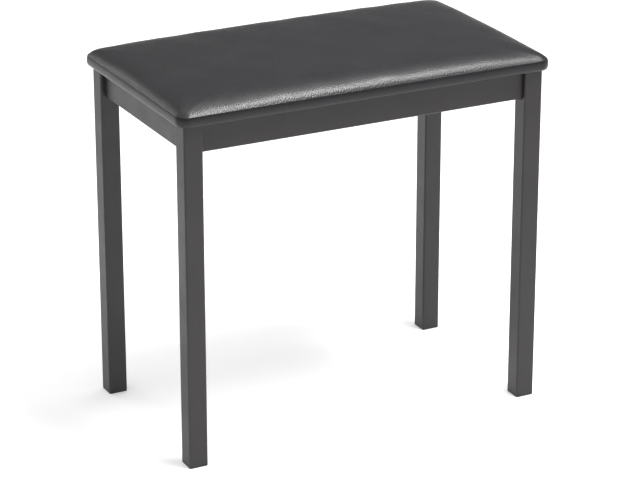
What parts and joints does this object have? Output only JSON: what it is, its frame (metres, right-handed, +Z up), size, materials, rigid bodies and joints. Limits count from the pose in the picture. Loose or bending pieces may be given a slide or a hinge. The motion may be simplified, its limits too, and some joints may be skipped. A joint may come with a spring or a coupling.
{
  "type": "piano bench",
  "caption": "Fixed-height piano bench: a welded frame of square black steel tube under a padded black vinyl seat on a plywood board.",
  "frame": {"origin": "on the floor, under the centre of the seat", "axes": "+X along the bench, to the right as seen from the front; +Y from the front to the rear; +Z up"},
  "size_m": [0.518, 0.298, 0.4822],
  "materials": {
    "frame_paint": "black satin powder coat",
    "black_vinyl": "black grained vinyl with a soft sheen",
    "foot_plastic": "black moulded polyethylene",
    "plywood": "raw plywood",
    "foam": "open-cell polyurethane foam",
    "non_woven": "black spun-bonded cloth",
    "zinc_plate": "bright zinc plate",
    "black_screw": "black oxide"
  },
  "bodies": {
    "root": {"cover_staples": "zinc_plate", "dust_cover": "non_woven", "foot_cap_front_left": "foot_plastic", "foot_cap_front_right": "foot_plastic", "foot_cap_rear_left": "foot_plastic", "foot_cap_rear_right": "foot_plastic", "frame_welds": "frame_paint", "gusset_front_left": "frame_paint", "gusset_front_right": "frame_paint", "gusset_rear_left": "frame_paint", "gusset_rear_right": "frame_paint", "leg_front_left": "frame_paint", "leg_front_right": "frame_paint", "leg_rear_left": "frame_paint", "leg_rear_right": "frame_paint", "rail_front": "frame_paint", "rail_left": "frame_paint", "rail_rear": "frame_paint", "rail_right": "frame_paint", "seat_board": "plywood", "seat_cover": "black_vinyl", "seat_foam": "foam", "seat_lock_washers": "zinc_plate", "seat_screws": "black_screw", "seat_tee_nuts": "zinc_plate", "seat_washers": "zinc_plate"}
  },
  "joints": []
}
